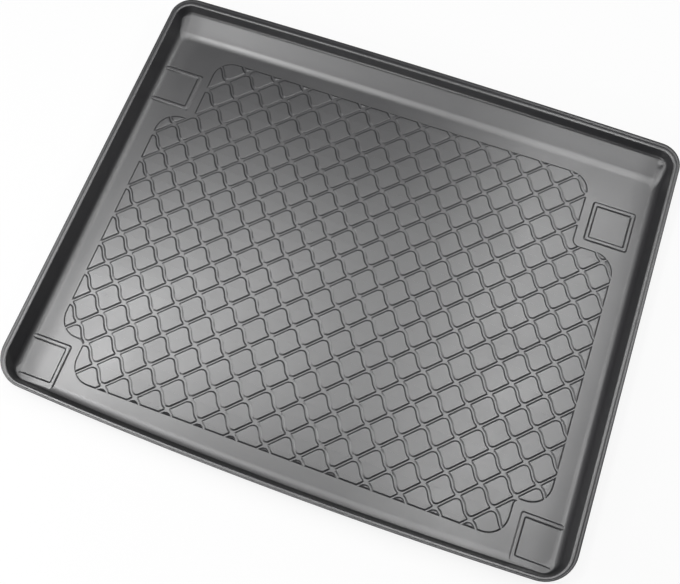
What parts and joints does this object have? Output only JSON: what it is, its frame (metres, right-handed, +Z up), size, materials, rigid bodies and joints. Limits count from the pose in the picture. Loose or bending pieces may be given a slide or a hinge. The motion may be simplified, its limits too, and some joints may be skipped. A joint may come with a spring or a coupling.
{
  "type": "car boot liner",
  "caption": "Shallow moulded plastic tray for a car boot floor, with an upstanding rim, a front ramp and a raised wavy-diamond tread.",
  "frame": {"origin": "under the middle of the tray, on the flat underside", "axes": "+Z up out of the tray, +Y towards the edge with the ramp, which lies towards the front of the car, +X to the right seen from the bowed near edge"},
  "size_m": [1.096, 0.9, 0.045],
  "materials": {
    "black_plastic": "fine moulded grain, satin"
  },
  "bodies": {
    "root": {"boot_liner": "black_plastic"}
  },
  "joints": []
}
